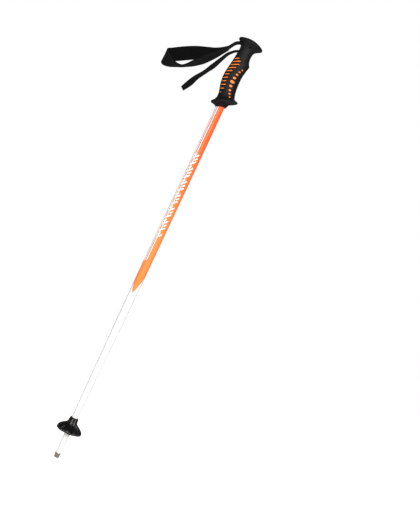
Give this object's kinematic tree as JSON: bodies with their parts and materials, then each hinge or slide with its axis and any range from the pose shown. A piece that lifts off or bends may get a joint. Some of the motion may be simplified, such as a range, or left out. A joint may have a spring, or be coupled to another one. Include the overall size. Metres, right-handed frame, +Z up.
{
  "type": "ski pole",
  "caption": "Alpine ski pole with a tapered tube, moulded grip with inlays, webbing wrist strap, lobed basket and steel tip.",
  "frame": {"origin": "centre of the flat end of the tip's hard insert", "axes": "+Z up the shaft's axis towards the grip, +X towards the finger ledge, the strap leaves towards -X"},
  "size_m": [0.1804, 0.0555, 0.95],
  "materials": {
    "shaft_lacquer": "gloss orange and white print under clear lacquer",
    "orange_plastic": "satin moulded",
    "black_rubber": "satin moulded",
    "black_plastic": "satin moulded",
    "webbing": "woven",
    "lining": "smooth knitted",
    "white_plastic": "moulded",
    "steel": "turned"
  },
  "bodies": {
    "root": {"shaft": "shaft_lacquer", "grip_core": "orange_plastic", "grip_shell": "black_rubber", "top_cap": "black_plastic", "strap_pin": "steel", "strap_anchor": "webbing", "ferrule": "white_plastic", "tip": "steel"},
    "hand_loop": {"strap_loop": "webbing", "strap_lining": "lining"},
    "strap_end": {"strap_tail": "webbing"},
    "wedge": {"strap_wedge": "black_plastic"},
    "snow_basket": {"basket": "black_plastic"}
  },
  "joints": [
    {"name": "loop_swing", "type": "hinge", "parent": "root", "child": "hand_loop", "pos_m": [-0.015, 0, 0.9354], "axis": [0, 1, 0], "range_deg": [0, 24]},
    {"name": "tail_swing", "type": "hinge", "parent": "root", "child": "strap_end", "pos_m": [-0.0132, 0, 0.9186], "axis": [0, 1, 0], "range_deg": [-15, 0]},
    {"name": "wedge_lift", "type": "slide", "parent": "root", "child": "wedge", "axis": [0, 0, 1], "range_m": [0, 0.0022]},
    {"name": "basket_turn", "type": "hinge", "parent": "root", "child": "snow_basket", "pos_m": [0, 0, 0.08], "axis": [0, 0, 1], "continuous": true}
  ]
}
